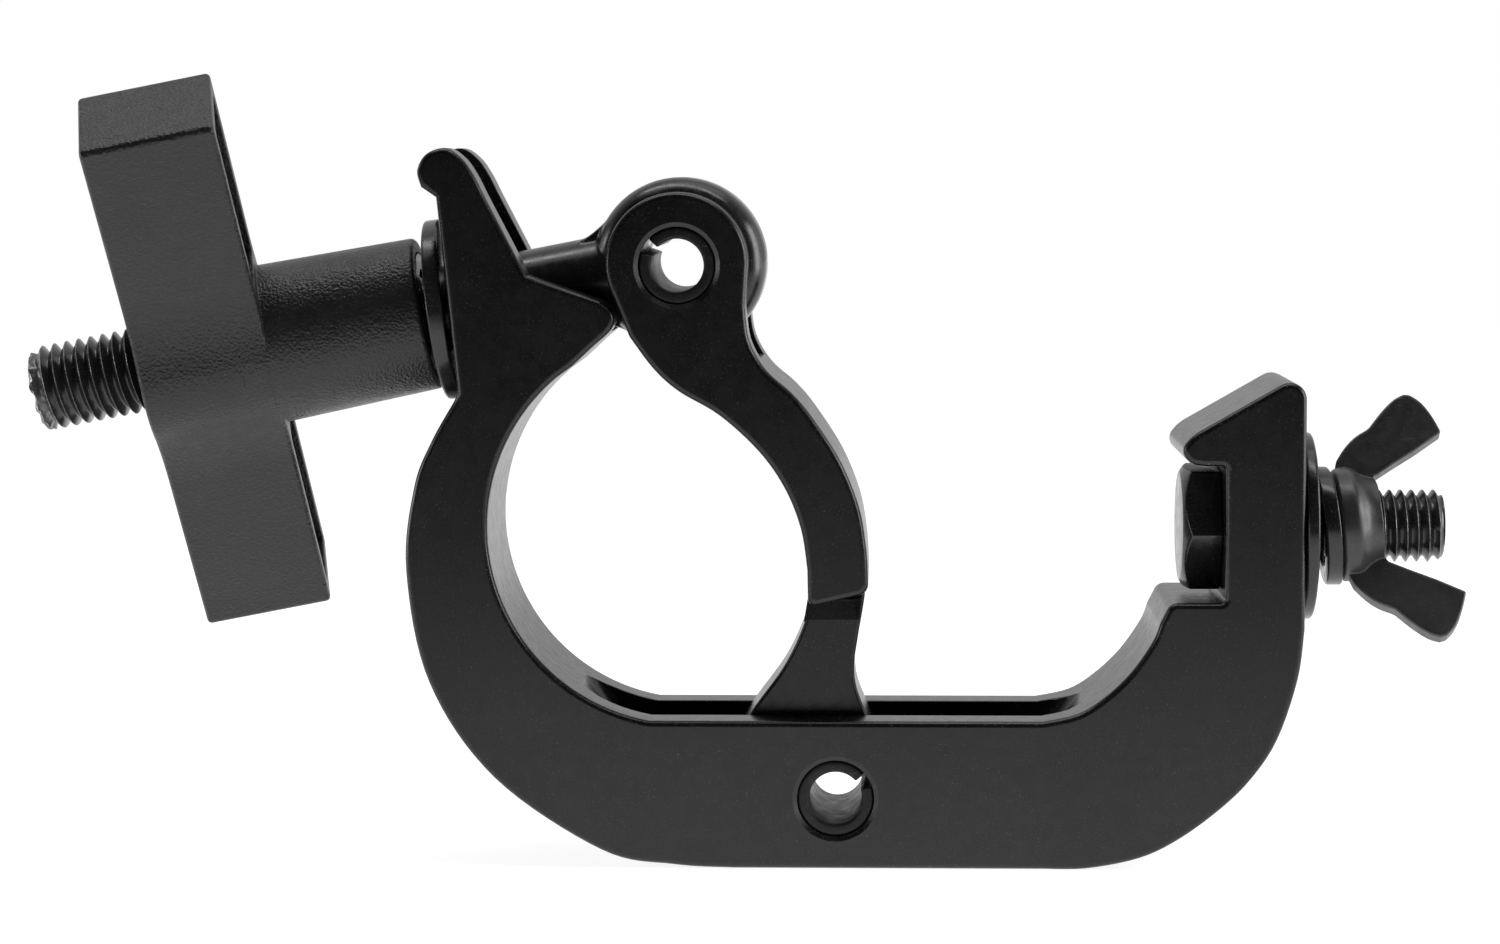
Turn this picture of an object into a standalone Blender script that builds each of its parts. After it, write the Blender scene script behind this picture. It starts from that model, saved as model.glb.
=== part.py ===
"""Pipe clamp for stage rigging: a hook for a 48 mm tube, closed by a swinging jaw and an eyebolt with a T handle.

The tube runs along Y. Z points up from the flat back of the hook. The origin is the centre of the clamped tube, on the
clamp's middle plane. Sizes below are in millimetres and become metres where a mesh is made.
"""

import math

import bmesh
import bpy
from mathutils import Matrix, Vector

MM = 0.001
GAP = 0.3                    # left between pieces that touch
ARC_STEP = 6.0               # degrees between the points of an arc

# Hook
BODY_WIDTH = 30.0            # along the tube
BASE_Z = -49.3               # flat back
LIP_Z = -25.7                # inner side of the back bar
ARM_FACE_X = 103.1           # outer face, where the fixture is bolted
SEAT_CENTRE = (5.3, 4.9)     # inner wall of the half ring
SEAT_RADIUS = 31.1
SLOT_WIDTH = 15.6            # channel of the jaw's tongue, and fork of the eyebolt
CHANNEL_RADIUS = 46.4        # disc cutter that mills the channel
CHANNEL_CENTRE_Z = 0.4
PRONG_TILT = 5.9             # of the prongs' outer face, from vertical
POCKET = (90.6, -6.8, 14.8)  # inner end, bottom and top of the bolt head's pocket
EDGE_RADIUS = 0.9

# Pins
LOWER_PIN = (29.25, -38.1)
UPPER_PIN = (4.4, 46.4)
PIN_RADIUS = 6.0
PIN_WALL = 1.8
PIN_LENGTH = 28.6
PIN_SLIT = 1.7
LOWER_SLIT_ANGLE = 30.0
UPPER_SLIT_ANGLE = 148.0
PIN_RIM_RADIUS = 6.8         # mouth of the chamfer round a pin's hole
PIN_RIM_DEPTH = 0.7

# Jaw
TONGUE_WIDTH = 14.6
CLEVIS_GAP = 14.8
CLEVIS_FLOOR_Z = 31.3
BOSS_RADIUS = 11.2
FOOT_RADIUS = 7.3

# Eyebolt, in its own frame: u runs from the upper pin out along the bolt
BOLT_TILT = 11.0             # below the horizontal
EYE_RADIUS = 13.8
EYE_THICKNESS = 14.0
EYE_ROUNDING = 4.2           # of the forged eye's outer edges
M14_RADIUS = 6.9
BOLT_END_U = 106.5
PRONG_FACE_U = 36.7          # where the bolt's axis leaves the prongs
WASHER_RADIUS = 14.5
WASHER_THICKNESS = 2.6
WASHER_TILT = 7.4            # of the washer under the handle, from vertical
WASHER_BORE_RADIUS = 7.5
WASHER_U = 37.7              # its near face on the bolt's axis

# Handle
BARREL_START_U = 41.5
BARREL_RADII = (12.3, 13.0)
BAR_U = (67.7, 88.9)
BAR_ENDS = (47.0, 48.1)      # reach of the upper and the lower wing
BAR_THICKNESS = 17.1
BAR_TURN = 33.4              # about the bolt, the upper wing towards -Y
BAR_RAKE = (3.6, 4.4)        # the bar leans from square to the bolt, along its length and its thickness
HUB_FILLET = 26.0
WING_WALL = 2.6
WING_POCKET_DEPTH = 17.5
INSERT_RADIUS = 10.0
INSERT_LENGTH = 30.0

# Fixture bolt and what is on it
FIXTURE_AXIS_Z = 4.05
HEAD_FLATS = 19.0
HEAD_START_X = 84.3
HEAD_TURN = 3.0
M12_RADIUS = 5.85
M12_END_X = 126.3
M12_HOLE_RADIUS = 6.6
FLAT_WASHER_RADIUS = 15.0
FLAT_WASHER_THICKNESS = 2.0
SPRING_WASHER_RADIUS = 9.5
SPRING_WASHER_THICKNESS = 3.15
SPRING_WASHER_LEAN = 4.4     # of its outer face, where the spring holds it open
NUT_X = 109.5                # where the nut's base meets the bolt's axis
NUT_TILT = 5.7               # the cast nut is not quite square to its thread
NUT_BASE_RADIUS = 9.1
NUT_TOP_RADIUS = 6.9
NUT_LENGTH = 6.9
NUT_TURN = 27.0
WING_THICKNESS = 3.2


# ---------------------------------------------------------------- outlines

def arc(centre, radius, start, end):
    """Points on an arc from angle start to angle end, in degrees from +X towards +Z."""
    steps = max(2, round(abs(end - start) / ARC_STEP))
    points = []
    for i in range(steps + 1):
        angle = math.radians(start + (end - start) * i / steps)
        points.append((centre[0] + radius * math.cos(angle), centre[1] + radius * math.sin(angle)))
    return points


def curve(points, per_span=4):
    """Points on a smooth curve through the given points."""
    ends = [points[0]] + list(points) + [points[-1]]
    out = []
    for i in range(len(points) - 1):
        a, b, c, d = (Vector(p) for p in ends[i:i + 4])
        for k in range(per_span):
            t = k / per_span
            p = 0.5 * (2 * b + (c - a) * t + (2 * a - 5 * b + 4 * c - d) * t ** 2
                       + (3 * b - a - 3 * c + d) * t ** 3)
            out.append((p.x, p.y))
    out.append(tuple(points[-1]))
    return out


def rounded(previous, corner, following, radius):
    """Points that round a corner between two straight runs."""
    corner = Vector(corner)
    back = (Vector(previous) - corner).normalized()
    ahead = (Vector(following) - corner).normalized()
    half = back.angle(ahead) / 2
    start = corner + back * radius / math.tan(half)
    end = corner + ahead * radius / math.tan(half)
    centre = corner + (back + ahead).normalized() * radius / math.sin(half)
    first = start - centre
    turn = first.angle_signed(end - centre)
    steps = max(2, round(abs(math.degrees(turn)) / 20))
    return [tuple(centre + Matrix.Rotation(-turn * i / steps, 2) @ first) for i in range(steps + 1)]


def bolt_point(u, v):
    """A point of the eyebolt's frame in X and Z: u out along the bolt, v square to it, upwards."""
    tilt = math.radians(BOLT_TILT)
    x = UPPER_PIN[0] - u * math.cos(tilt) - v * math.sin(tilt)
    z = UPPER_PIN[1] - u * math.sin(tilt) + v * math.cos(tilt)
    return x, z


# ---------------------------------------------------------------- mesh tools

def material(name, colour, roughness, metallic):
    mat = bpy.data.materials.new(name)
    mat.use_nodes = True
    shader = mat.node_tree.nodes["Principled BSDF"]
    shader.inputs["Base Color"].default_value = (*colour, 1.0)
    shader.inputs["Roughness"].default_value = roughness
    shader.inputs["Metallic"].default_value = metallic
    return mat


def add_object(name, bm, origin=(0.0, 0.0, 0.0), mat=None):
    """Makes an object whose mesh is given in millimetres about origin, also in millimetres."""
    bmesh.ops.recalc_face_normals(bm, faces=bm.faces)
    bmesh.ops.scale(bm, vec=(MM, MM, MM), verts=bm.verts)
    mesh = bpy.data.meshes.new(name)
    bm.to_mesh(mesh)
    bm.free()
    mesh.shade_smooth()
    mesh.set_sharp_from_angle(angle=math.radians(30))
    obj = bpy.data.objects.new(name, mesh)
    obj.location = Vector(origin) * MM
    bpy.context.collection.objects.link(obj)
    if mat:
        mesh.materials.append(mat)
    return obj


def prism(outline, low, high, origin=(0.0, 0.0)):
    """A solid whose outline lies in XZ, given about origin, from Y = low to Y = high."""
    bm = bmesh.new()
    verts = [bm.verts.new((x - origin[0], low, z - origin[1])) for x, z in outline]
    face = bm.faces.new(verts)
    top = bmesh.ops.extrude_face_region(bm, geom=[face])["geom"]
    moved = [v for v in top if isinstance(v, bmesh.types.BMVert)]
    bmesh.ops.translate(bm, vec=(0.0, high - low, 0.0), verts=moved)
    return bm


def turned(profile, segments, axis="X"):
    """A solid of revolution. The profile lists (distance along the axis, radius), closed on the axis or as a ring."""
    bm = bmesh.new()
    ring = profile[0][1] > 0
    loops = []
    for along, radius in profile:
        if radius == 0:
            loops.append([bm.verts.new((along, 0.0, 0.0))])
            continue
        loop = []
        for i in range(segments):
            angle = math.tau * i / segments
            loop.append(bm.verts.new((along, radius * math.cos(angle), radius * math.sin(angle))))
        loops.append(loop)
    pairs = list(zip(loops, loops[1:]))
    if ring:
        pairs.append((loops[-1], loops[0]))
    for near, far in pairs:
        for i in range(segments):
            j = (i + 1) % segments
            corners = [near[i % len(near)], near[j % len(near)], far[j % len(far)], far[i % len(far)]]
            face = list(dict.fromkeys(corners))
            if len(face) > 2:
                bm.faces.new(face)
    if axis == "Y":
        bmesh.ops.rotate(bm, cent=(0, 0, 0), matrix=Matrix.Rotation(math.pi / 2, 3, "Z"), verts=bm.verts)
    return bm


def add_bevel(obj, width, segments=2, angle=50.0):
    bevel = obj.modifiers.new("edges", "BEVEL")
    bevel.width = width * MM
    bevel.segments = segments
    bevel.limit_method = "ANGLE"
    bevel.angle_limit = math.radians(angle)
    bevel.harden_normals = False


def boolean(obj, tool, operation):
    tool.hide_render = True
    tool.display_type = "WIRE"
    mod = obj.modifiers.new(tool.name, "BOOLEAN")
    mod.operation = operation
    mod.object = tool


def cut(obj, bm, name, origin=(0.0, 0.0, 0.0)):
    tool = add_object(name, bm, origin)
    boolean(obj, tool, "DIFFERENCE")
    return tool


def join(obj, bm, name, origin=(0.0, 0.0, 0.0)):
    tool = add_object(name, bm, origin)
    boolean(obj, tool, "UNION")
    return tool


def place_on(parent, *objects):
    for obj in objects:
        obj.parent = parent


def cut_pin_hole(obj, pin, width, name):
    """A hole for a spring pin along Y, with a chamfered mouth on both faces."""
    half = width / 2
    bore = PIN_RADIUS + GAP
    mouth = PIN_RIM_RADIUS
    profile = [(-half - 1, 0), (-half - 1, mouth + 1), (-half, mouth), (-half + PIN_RIM_DEPTH, bore),
               (half - PIN_RIM_DEPTH, bore), (half, mouth), (half + 1, mouth + 1), (half + 1, 0)]
    cut(obj, turned(profile, 48, "Y"), name, (pin[0], 0.0, pin[1]))


# ---------------------------------------------------------------- hook

def prong_face(z):
    """X of the prongs' outer face at height z."""
    x, z0 = bolt_point(PRONG_FACE_U, 0)
    return x - (z - z0) * math.tan(math.radians(PRONG_TILT))


def hook_outline():
    toe = curve([(62.0, BASE_Z), (69.0, -49.2), (77.4, -47.5), (83.7, -44.4), (90.0, -39.7), (94.9, -34.8),
                 (99.0, -28.4), (102.1, -18.9), (103.1, -11.0)], 2)
    nose = (86.0, 20.1)
    corner = rounded((ARM_FACE_X, 0), (ARM_FACE_X, 29.9), nose, 2.7)
    ceiling = (87.2, POCKET[2])
    beak = curve([nose, (84.8, 19.1), (83.9, 17.8), (84.0, 16.4), (85.2, 15.2), ceiling], 2)
    inner = (POCKET[0], POCKET[2])
    pocket = rounded(ceiling, inner, (POCKET[0], 0), 0.8)
    pocket += rounded((POCKET[0], 0), (POCKET[0], POCKET[1]), (80, POCKET[1]), 0.8)
    shoulder = rounded((POCKET[0], POCKET[1]), (82.0, POCKET[1]), (79.0, -13.0), 1.8)
    heel = curve([(80.4, -10.0), (79.2, -13.0), (75.8, -17.9), (71.6, -21.9), (67.4, -24.5), (62.0, LIP_Z)], 2)
    seat_low = -180 - math.degrees(math.asin((LIP_Z - SEAT_CENTRE[1]) / SEAT_RADIUS))
    seat = arc(SEAT_CENTRE, SEAT_RADIUS, seat_low, -230)
    beak_tip = curve([(-12.1, 30.6), (-8.9, 33.6), (-6.0, 36.3), (-5.6, 38.8), (-7.8, 40.9)], 3)
    prong = [(-19.3, 44.8)]
    prong += curve([(-26.0, 57.8), (-27.4, 60.6), (-29.2, 63.2), (-31.8, 64.9), (-34.9, 64.0), (-36.4, 61.4),
                    (-35.8, 58.8)], 3)
    face_top = 57.2
    face_bottom = 26.4
    face = [(prong_face(face_top), face_top), (prong_face(face_bottom), face_bottom)]
    outer = curve([(-31.0, 24.9), (-34.6, 18.6), (-37.4, 11.4), (-38.8, -1.8), (-35.3, -19.7), (-25.0, -35.0),
                   (-8.0, -46.5), (3.6, -48.8), (13.0, BASE_Z)], 4)
    return toe + corner + beak + pocket + shoulder + heel + seat + beak_tip + prong + face + outer


def make_hook(mat):
    half = BODY_WIDTH / 2
    slot = SLOT_WIDTH / 2
    hook = add_object("hook", prism(hook_outline(), -half, half), mat=mat)
    add_bevel(hook, EDGE_RADIUS)
    channel = turned([(-slot, 0), (-slot, CHANNEL_RADIUS), (slot, CHANNEL_RADIUS), (slot, 0)], 96, "Y")
    cut(hook, channel, "channel_cutter", (LOWER_PIN[0], 0.0, CHANNEL_CENTRE_Z))
    floor = -M14_RADIUS - 1.3
    fork = [bolt_point(60, floor), bolt_point(8, floor), bolt_point(8, 45), bolt_point(60, 45)]
    cut(hook, prism(fork, -slot, slot), "fork_cutter")
    eye_room = EYE_RADIUS + 0.8
    relief = turned([(-slot, 0), (-slot, eye_room), (slot, eye_room), (slot, 0)], 48, "Y")
    cut(hook, relief, "eye_relief_cutter", (UPPER_PIN[0], 0.0, UPPER_PIN[1]))
    cut_pin_hole(hook, LOWER_PIN, BODY_WIDTH, "lower_pin_hole")
    hole = turned([(POCKET[0] - 5, 0), (POCKET[0] - 5, M12_HOLE_RADIUS), (ARM_FACE_X + 5, M12_HOLE_RADIUS),
                   (ARM_FACE_X + 5, 0)], 40)
    cut(hook, hole, "fixture_hole", (0.0, 0.0, FIXTURE_AXIS_Z))
    return hook


# ---------------------------------------------------------------- jaw

def jaw_outline():
    boss = arc((UPPER_PIN[0] - 0.1, UPPER_PIN[1] + 0.3), BOSS_RADIUS, 0, 205)
    inner = curve([(-3.1, 35.2), (0.6, 30.2), (4.6, 26.6), (11.0, 22.8), (17.2, 17.1), (21.3, 11.2), (23.8, 4.8),
                   (24.8, -1.7)], 3)
    outer = curve([(34.4, -1.4), (34.1, 2.3), (33.0, 8.4), (30.1, 15.6), (25.6, 22.6), (22.4, 26.4), (18.4, 30.0),
                   (15.8, 34.6), (15.1, 40.0)], 3)
    end = (24.9, -7.6), (34.5, -5.35)
    foot = rounded(inner[-1], end[0], end[1], 1.2) + rounded(end[0], end[1], outer[0], 1.9)
    return boss + inner + foot + outer


def tongue_outline():
    left = curve([(25.3, 0.0), (24.9, -7.6), (23.7, -12.2), (20.7, -18.3), (15.3, -25.8), (13.4, -30.5),
                  (14.6, -37.0), (20.4, -43.2)], 3)
    foot = arc(LOWER_PIN, FOOT_RADIUS, 230, 362)
    right = curve([(36.5, -32.0), (34.4, -26.2), (32.6, -21.5), (32.2, -17.5), (32.8, -13.0), (34.0, -5.0),
                   (33.6, 3.0)], 3)
    return left + foot + right


def make_jaw(mat):
    half = BODY_WIDTH / 2
    tongue_half = TONGUE_WIDTH / 2
    origin = (LOWER_PIN[0], 0.0, LOWER_PIN[1])
    jaw = add_object("jaw", prism(jaw_outline(), -half, half, LOWER_PIN), origin, mat)
    add_bevel(jaw, EDGE_RADIUS)
    tongue = join(jaw, prism(tongue_outline(), -tongue_half, tongue_half, LOWER_PIN), "tongue", origin)
    add_bevel(tongue, 0.6, 1)
    gap = CLEVIS_GAP / 2
    clevis = [(-30, CLEVIS_FLOOR_Z), (40, CLEVIS_FLOOR_Z), (40, 70), (-30, 70)]
    cut(jaw, prism(clevis, -gap, gap), "clevis_cutter")
    cut_pin_hole(jaw, UPPER_PIN, BODY_WIDTH, "upper_pin_hole")
    cut_pin_hole(jaw, LOWER_PIN, BODY_WIDTH, "tongue_pin_hole")
    return jaw


# ---------------------------------------------------------------- pins

def spring_pin(name, pin, slit_angle, mat):
    """A rolled spring pin: a tube with a slit along its whole length."""
    half_slit = math.degrees(PIN_SLIT / 2 / PIN_RADIUS)
    inner_radius = PIN_RADIUS - PIN_WALL
    outer = arc((0, 0), PIN_RADIUS, slit_angle + half_slit, slit_angle + 360 - half_slit)
    inner = arc((0, 0), inner_radius, slit_angle + 360 - half_slit * 1.3, slit_angle + half_slit * 1.3)
    half = PIN_LENGTH / 2
    obj = add_object(name, prism(outer + inner, -half, half), (pin[0], 0.0, pin[1]), mat)
    add_bevel(obj, 0.4, 1)
    return obj


# ---------------------------------------------------------------- eyebolt and handle

def make_eyebolt(mat):
    half = EYE_THICKNESS / 2
    bore = PIN_RADIUS + GAP
    edge = [(half - EYE_ROUNDING + x, EYE_RADIUS - EYE_ROUNDING + r) for x, r in arc((0, 0), EYE_ROUNDING, 0, 90)]
    profile = [(half, bore)] + edge + [(-x, r) for x, r in reversed(edge)] + [(-half, bore)]
    eye = turned(profile, 64, "Y")
    eyebolt = add_object("eyebolt", eye, mat=mat)
    neck = EYE_RADIUS - 2
    shank = turned([(bore + 3, 0), (bore + 3, M14_RADIUS), (neck, M14_RADIUS), (BOLT_END_U - 1.2, M14_RADIUS),
                    (BOLT_END_U, M14_RADIUS - 0.8), (BOLT_END_U, 0)], 48)
    shank_tool = join(eyebolt, shank, "shank")
    place_on(eyebolt, shank_tool)
    return eyebolt


def make_eyebolt_washer(mat):
    profile = [(0, WASHER_BORE_RADIUS), (0, WASHER_RADIUS - 0.4), (0.4, WASHER_RADIUS),
               (WASHER_THICKNESS - 0.4, WASHER_RADIUS), (WASHER_THICKNESS, WASHER_RADIUS - 0.4),
               (WASHER_THICKNESS, WASHER_BORE_RADIUS)]
    return add_object("eyebolt_washer", turned(profile, 56), (WASHER_U, 0.0, 0.0), mat)


def handle_section():
    """The cross bar seen along the bolt: a straight bar with a round hub, joined by fillets."""
    hub = BARREL_RADII[1]
    half = BAR_THICKNESS / 2
    rise = half + HUB_FILLET
    reach = math.sqrt((hub + HUB_FILLET) ** 2 - rise ** 2)
    meet = math.degrees(math.atan2(rise, reach))
    section = []
    for side, end in ((0, BAR_ENDS[0]), (180, BAR_ENDS[1])):
        turn = Matrix.Rotation(math.radians(-side), 2)
        corner = rounded((0, -half), (end, -half), (end, half), 1.2)
        corner += rounded((end, -half), (end, half), (0, half), 1.2)
        fillet = arc((reach, rise), HUB_FILLET, -90, -180 + meet)
        crown = arc((0, 0), hub, meet, 180 - meet)
        other = arc((-reach, rise), HUB_FILLET, -meet, -90)
        points = corner + fillet + crown[1:] + other[1:]
        section += [tuple(turn @ Vector(p)) for p in points]
    return section


def along_bolt(bm):
    """Turns a prism along Y into one along the bolt: bar length on local Z, upper wing at -Z, then leans it."""
    matrix = Matrix(((0, 1, 0), (0, 0, 1), (-1, 0, 0)))
    bmesh.ops.transform(bm, matrix=matrix.to_4x4(), verts=bm.verts)
    lean_long, lean_thick = (math.tan(math.radians(a)) for a in BAR_RAKE)
    for vert in bm.verts:
        vert.co.x += lean_long * vert.co.z + lean_thick * vert.co.y
    turn = Matrix.Rotation(math.radians(-BAR_TURN), 3, "X")
    bmesh.ops.rotate(bm, cent=(0, 0, 0), matrix=turn, verts=bm.verts)
    return bm


def make_handle(mat):
    bar_start, bar_end = BAR_U
    handle = add_object("handle", along_bolt(prism(handle_section(), bar_start, bar_end)), mat=mat)
    add_bevel(handle, 0.7, 1)
    barrel = turned([(BARREL_START_U, 0), (BARREL_START_U, BARREL_RADII[0] - 0.5),
                     (BARREL_START_U + 0.5, BARREL_RADII[0]), (bar_start + 4, BARREL_RADII[1]),
                     (bar_start + 4, 0)], 56)
    tools = [join(handle, barrel, "barrel")]
    start = BARREL_RADII[1] + 1.5
    half = BAR_THICKNESS / 2 - WING_WALL
    for side, reach in ((1, BAR_ENDS[0]), (-1, BAR_ENDS[1])):
        end = reach - WING_WALL
        corners = [(side * start, -half), (side * end, -half), (side * end, half), (side * start, half)]
        pocket = prism(corners, bar_start - 6, bar_start + WING_POCKET_DEPTH)
        tools.append(cut(handle, along_bolt(pocket), "wing_pocket_cutter"))
    insert_end = BARREL_START_U + INSERT_LENGTH
    bore = turned([(BARREL_START_U - 2, 0), (BARREL_START_U - 2, INSERT_RADIUS), (insert_end, INSERT_RADIUS),
                   (insert_end, M14_RADIUS + 0.4), (bar_end + 5, M14_RADIUS + 0.4), (bar_end + 5, 0)], 48)
    tools.append(cut(handle, bore, "handle_bore"))
    place_on(handle, *tools)
    return handle


def make_insert(mat):
    end = BARREL_START_U + INSERT_LENGTH - GAP
    outer = INSERT_RADIUS - GAP
    bore = M14_RADIUS + GAP
    profile = [(BARREL_START_U, bore), (BARREL_START_U, outer), (end, outer), (end, bore)]
    return add_object("handle_insert", turned(profile, 48), mat=mat)


# ---------------------------------------------------------------- fixture bolt

def make_fixture_bolt(mat):
    corner = HEAD_FLATS / 2 / math.cos(math.pi / 6)
    bm = bmesh.new()
    loops = []
    for x, radius in ((HEAD_START_X, corner * 0.9), (HEAD_START_X + 1.0, corner), (POCKET[0] - GAP, corner)):
        loop = []
        for i in range(6):
            angle = math.radians(60 * i + HEAD_TURN)
            loop.append(bm.verts.new((x, -radius * math.cos(angle), -radius * math.sin(angle))))
        loops.append(loop)
    for near, far in zip(loops, loops[1:]):
        for i in range(6):
            j = (i + 1) % 6
            bm.faces.new([near[i], near[j], far[j], far[i]])
    bm.faces.new(loops[0])
    bm.faces.new(loops[-1])
    bolt = add_object("fixture_bolt", bm, (0.0, 0.0, FIXTURE_AXIS_Z), mat)
    shank = turned([(HEAD_START_X + 2, 0), (HEAD_START_X + 2, M12_RADIUS), (M12_END_X - 1.0, M12_RADIUS),
                    (M12_END_X, M12_RADIUS - 0.9), (M12_END_X, 0)], 40)
    join(bolt, shank, "fixture_shank", (0.0, 0.0, FIXTURE_AXIS_Z))
    return bolt


def washer_ring(name, start, thickness, radius, bore, mat):
    chamfer = 0.3
    profile = [(start, bore), (start, radius - chamfer), (start + chamfer, radius),
               (start + thickness - chamfer, radius), (start + thickness, radius - chamfer),
               (start + thickness, bore)]
    return add_object(name, turned(profile, 56), (0.0, 0.0, FIXTURE_AXIS_Z), mat)


def make_spring_washer(start, mat):
    """A split ring, held open by its spring: its outer face leans."""
    thick = SPRING_WASHER_THICKNESS
    radius = SPRING_WASHER_RADIUS
    bm = turned([(0, 6.4), (0, radius - 0.3), (0.3, radius), (thick - 0.3, radius), (thick, radius - 0.3),
                 (thick, 6.4)], 48)
    lean = math.tan(math.radians(SPRING_WASHER_LEAN))
    for vert in bm.verts:
        if vert.co.x > thick / 2:
            vert.co.x -= lean * vert.co.z
        vert.co.x += start
    washer = add_object("spring_washer", bm, (0.0, 0.0, FIXTURE_AXIS_Z), mat)
    split = prism([(start - 2, -3.2), (start + 7, -1.2), (start + 7, -0.2), (start - 2, -2.2)], 0, 15)
    cut(washer, split, "split_cutter", (0.0, 0.0, FIXTURE_AXIS_Z))
    return washer


def set_on_nut(bm):
    """Turns and tilts a solid built along X from the nut's base into the nut's place on the bolt."""
    turn = Matrix.Rotation(math.radians(-NUT_TURN), 3, "X")
    tilt = Matrix.Rotation(math.radians(-NUT_TILT), 3, "Y")
    bmesh.ops.rotate(bm, cent=(0, 0, 0), matrix=tilt @ turn, verts=bm.verts)
    bmesh.ops.translate(bm, vec=(NUT_X, 0, 0), verts=bm.verts)
    return bm


def make_wing_nut(mat):
    axis = (0.0, 0.0, FIXTURE_AXIS_Z)
    base = NUT_BASE_RADIUS
    hub = turned([(0, 0), (0, base - 0.5), (0.5, base), (2.4, base), (3.4, base - 0.9), (5.0, NUT_TOP_RADIUS + 0.5),
                  (NUT_LENGTH, NUT_TOP_RADIUS), (NUT_LENGTH, 0)], 48)
    nut = add_object("wing_nut", set_on_nut(hub), axis, mat)
    for side in (1, -1):
        wing = [(0.9, 5.0), (0.8, 8.7)] + curve([(1.4, 10.6), (3.0, 12.7), (4.9, 14.4), (6.8, 15.4)], 1)
        wing += curve([(7.4, 15.8), (9.6, 18.2), (11.9, 20.2), (13.7, 21.0)], 1)
        wing += curve([(14.7, 20.8), (16.3, 19.3), (17.7, 16.8), (18.8, 13.8)], 2)
        wing += [(14.4, 11.2), (10.2, 9.0), (7.3, 7.4), (6.2, 5.0)]
        bm = prism([(x, side * r) for x, r in wing], -WING_THICKNESS / 2, WING_THICKNESS / 2)
        tool = join(nut, set_on_nut(bm), "wing", axis)
        add_bevel(tool, 0.5, 1, 40)
    bore = M12_RADIUS + GAP
    hole = turned([(NUT_X - 5, 0), (NUT_X - 5, bore), (NUT_X + 15, bore), (NUT_X + 15, 0)], 40)
    cut(nut, hole, "nut_bore", axis)
    return nut


# ---------------------------------------------------------------- assembly

def build():
    for obj in list(bpy.data.objects):
        bpy.data.objects.remove(obj)

    powder = material("black_powder_coat", (0.02, 0.02, 0.021), 0.5, 0.0)
    black_steel = material("blackened_steel", (0.03, 0.03, 0.031), 0.35, 0.8)
    moulded = material("moulded_handle", (0.035, 0.035, 0.037), 0.45, 0.0)

    make_hook(powder)
    make_jaw(powder)
    spring_pin("lower_pin", LOWER_PIN, LOWER_SLIT_ANGLE, black_steel)
    spring_pin("upper_pin", UPPER_PIN, UPPER_SLIT_ANGLE, black_steel)

    bolt_frame = bpy.data.objects.new("bolt_frame", None)
    bolt_frame.location = Vector((UPPER_PIN[0], 0.0, UPPER_PIN[1])) * MM
    bolt_frame.rotation_euler = (0.0, math.radians(180 - BOLT_TILT), 0.0)
    bpy.context.collection.objects.link(bolt_frame)
    washer = make_eyebolt_washer(black_steel)
    washer.rotation_euler = (0.0, math.radians(BOLT_TILT - WASHER_TILT), 0.0)
    place_on(bolt_frame, make_eyebolt(black_steel), washer, make_handle(moulded), make_insert(black_steel))

    make_fixture_bolt(black_steel)
    start = ARM_FACE_X + GAP
    washer_ring("flat_washer", start, FLAT_WASHER_THICKNESS, FLAT_WASHER_RADIUS, 6.5, black_steel)
    make_spring_washer(start + FLAT_WASHER_THICKNESS + GAP, black_steel)
    make_wing_nut(black_steel)


build()
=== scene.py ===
"""Pipe clamp for stage rigging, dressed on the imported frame.

Lengths are in millimetres until a mesh is made, and in metres in the studio.
"""

import math

import bmesh
import bpy
from mathutils import Matrix, Vector, noise


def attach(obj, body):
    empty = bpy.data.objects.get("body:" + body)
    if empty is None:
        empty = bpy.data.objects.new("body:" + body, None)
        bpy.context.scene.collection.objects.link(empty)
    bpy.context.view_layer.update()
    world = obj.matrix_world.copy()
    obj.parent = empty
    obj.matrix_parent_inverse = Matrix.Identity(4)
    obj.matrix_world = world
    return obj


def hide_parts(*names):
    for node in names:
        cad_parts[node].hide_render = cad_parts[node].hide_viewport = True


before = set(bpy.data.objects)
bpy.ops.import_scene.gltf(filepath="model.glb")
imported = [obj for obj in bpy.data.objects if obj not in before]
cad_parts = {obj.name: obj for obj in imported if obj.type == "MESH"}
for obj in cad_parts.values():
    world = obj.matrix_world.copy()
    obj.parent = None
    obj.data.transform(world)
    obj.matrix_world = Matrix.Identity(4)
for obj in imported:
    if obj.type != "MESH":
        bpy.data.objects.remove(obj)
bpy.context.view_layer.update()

MM = 0.001
ARC_STEP = 3.0               # degrees between the points of an arc
CRUMB = 0.004                # edges shorter than this are welded after a cut
COPLANAR_ANGLE = 0.3

# Hook and jaw
BODY_WIDTH = 30.0
BASE_Z = -49.3
LIP_Z = -25.7
ARM_FACE_X = 103.1
SEAT_CENTRE = (5.3, 4.9)
SEAT_RADIUS = 31.1
SLOT_WIDTH = 15.6
CHANNEL_RADIUS = 46.4
CHANNEL_CENTRE_Z = 0.4
RIM_ROUNDING = 4.0           # of the milled channel, seen at its two ends
PRONG_TILT = 5.9
POCKET = (90.6, -6.8, 14.8)
EDGE_RADIUS = 0.95
CUT_EDGE = 0.3               # rounding of the milled edges
TONGUE_WIDTH = 14.6
CLEVIS_GAP = 14.8
CLEVIS_FLOOR_Z = 31.3
BOSS_RADIUS = 11.2
FOOT_RADIUS = 7.3
RAMP_Z = -10.4               # crease below the ramp that leads to the tongue

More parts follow.
